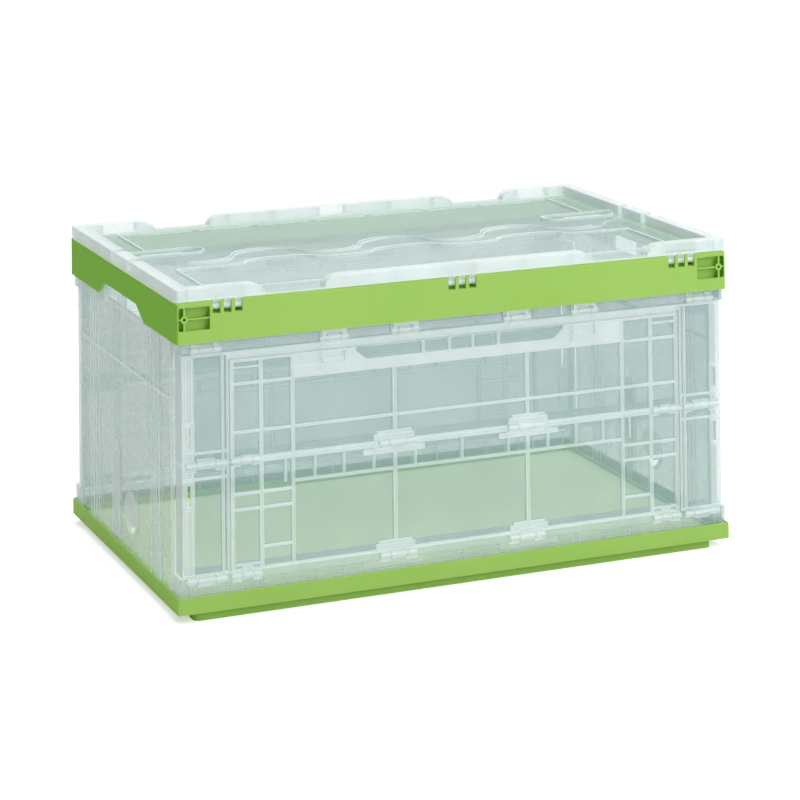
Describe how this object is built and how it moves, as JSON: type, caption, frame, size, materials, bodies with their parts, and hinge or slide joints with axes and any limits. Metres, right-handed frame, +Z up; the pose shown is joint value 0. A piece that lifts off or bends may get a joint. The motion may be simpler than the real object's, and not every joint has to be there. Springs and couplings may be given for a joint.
{
  "type": "collapsible storage crate",
  "caption": "Rectangular folding crate with a solid tray base and rim, clear hinged walls that fold flat, a lattice door in one long side and a lid in two halves.",
  "frame": {"origin": "centre of the footprint, on the floor under the foot ring", "axes": "+Z up, +X along the length, the long side with the door faces -Y"},
  "size_m": [0.53, 0.35, 0.284],
  "materials": {
    "green_pp": "moulded polypropylene, fine satin",
    "clear_pp": "translucent polypropylene",
    "frosted_pp": "milky translucent polypropylene"
  },
  "bodies": {
    "base": {"base_tray": "green_pp", "front_curb": "frosted_pp", "rear_curb": "frosted_pp", "front_bottom_pins": "frosted_pp", "rear_bottom_pins": "frosted_pp"},
    "front_lower": {"front_lower_frame": "clear_pp", "front_mid_pins": "frosted_pp"},
    "door_lower": {"front_door_lower": "clear_pp", "front_door_pins": "frosted_pp"},
    "door_upper": {"front_door_upper": "clear_pp"},
    "latch_left": {"door_latch_left": "frosted_pp"},
    "latch_right": {"door_latch_right": "frosted_pp"},
    "front_upper": {"front_upper_frame": "clear_pp"},
    "rim": {"rim_frame": "green_pp", "front_hanger_strip": "frosted_pp", "rear_hanger_strip": "frosted_pp", "front_top_pins": "frosted_pp", "rear_top_pins": "frosted_pp", "end_pin_left": "frosted_pp", "end_pin_right": "frosted_pp", "lid_pins_front": "frosted_pp", "lid_pins_rear": "frosted_pp"},
    "rear_upper": {"rear_wall_upper": "clear_pp", "rear_mid_pins": "frosted_pp"},
    "rear_lower": {"rear_wall_lower": "clear_pp"},
    "end_left": {"end_panel_left": "clear_pp"},
    "end_right": {"end_panel_right": "clear_pp"},
    "end_lock_left": {"end_latch_left": "frosted_pp"},
    "end_lock_right": {"end_latch_right": "frosted_pp"},
    "lid_front": {"lid_front": "clear_pp"},
    "lid_rear": {"lid_rear": "clear_pp"}
  },
  "joints": [
    {"name": "fold", "type": "hinge", "parent": "base", "child": "front_lower", "pos_m": [0, -0.171, 0.034], "axis": [-1, 0, 0], "range_deg": [0, 88]},
    {"name": "front_mid_fold", "type": "hinge", "parent": "front_lower", "child": "front_upper", "pos_m": [0, -0.171, 0.132], "axis": [-1, 0, 0], "range_deg": [-176, 0]},
    {"name": "front_top_fold", "type": "hinge", "parent": "front_upper", "child": "rim", "pos_m": [0, -0.171, 0.23], "axis": [-1, 0, 0], "range_deg": [0, 88]},
    {"name": "rear_top_fold", "type": "hinge", "parent": "rim", "child": "rear_upper", "pos_m": [0, 0.171, 0.23], "axis": [-1, 0, 0], "range_deg": [0, 88]},
    {"name": "rear_mid_fold", "type": "hinge", "parent": "rear_upper", "child": "rear_lower", "pos_m": [0, 0.171, 0.132], "axis": [-1, 0, 0], "range_deg": [-176, 0]},
    {"name": "door_swing", "type": "hinge", "parent": "front_lower", "child": "door_lower", "pos_m": [0, -0.171, 0.034], "axis": [-1, 0, 0], "range_deg": [-90, 0]},
    {"name": "door_mid_fold", "type": "hinge", "parent": "door_lower", "child": "door_upper", "pos_m": [0, -0.171, 0.132], "axis": [-1, 0, 0], "range_deg": [-176, 0]},
    {"name": "latch_left_slide", "type": "slide", "parent": "door_upper", "child": "latch_left", "axis": [0, 0, 1], "range_m": [0, 0.005]},
    {"name": "latch_right_slide", "type": "slide", "parent": "door_upper", "child": "latch_right", "axis": [0, 0, 1], "range_m": [0, 0.005]},
    {"name": "end_left_swing", "type": "hinge", "parent": "rim", "child": "end_left", "pos_m": [-0.2606, 0, 0.2615], "axis": [0, -1, 0], "range_deg": [0, 90]},
    {"name": "end_right_swing", "type": "hinge", "parent": "rim", "child": "end_right", "pos_m": [0.2606, 0, 0.2615], "axis": [0, 1, 0], "range_deg": [0, 90]},
    {"name": "end_lock_left_slide", "type": "slide", "parent": "end_left", "child": "end_lock_left", "axis": [0, 0, -1], "range_m": [0, 0.004]},
    {"name": "end_lock_right_slide", "type": "slide", "parent": "end_right", "child": "end_lock_right", "axis": [0, 0, -1], "range_m": [0, 0.004]},
    {"name": "lid_front_swing", "type": "hinge", "parent": "rim", "child": "lid_front", "pos_m": [0, -0.1712, 0.2675], "axis": [-1, 0, 0], "range_deg": [-110, 0]},
    {"name": "lid_rear_swing", "type": "hinge", "parent": "rim", "child": "lid_rear", "pos_m": [0, 0.1712, 0.2675], "axis": [1, 0, 0], "range_deg": [-110, 0]}
  ],
  "couplings": [
    {"joint": "front_mid_fold", "follows": "fold", "ratio": -2},
    {"joint": "front_top_fold", "follows": "fold", "ratio": 1},
    {"joint": "rear_top_fold", "follows": "fold", "ratio": 1},
    {"joint": "rear_mid_fold", "follows": "fold", "ratio": -2},
    {"joint": "door_mid_fold", "follows": "fold", "ratio": -2}
  ]
}
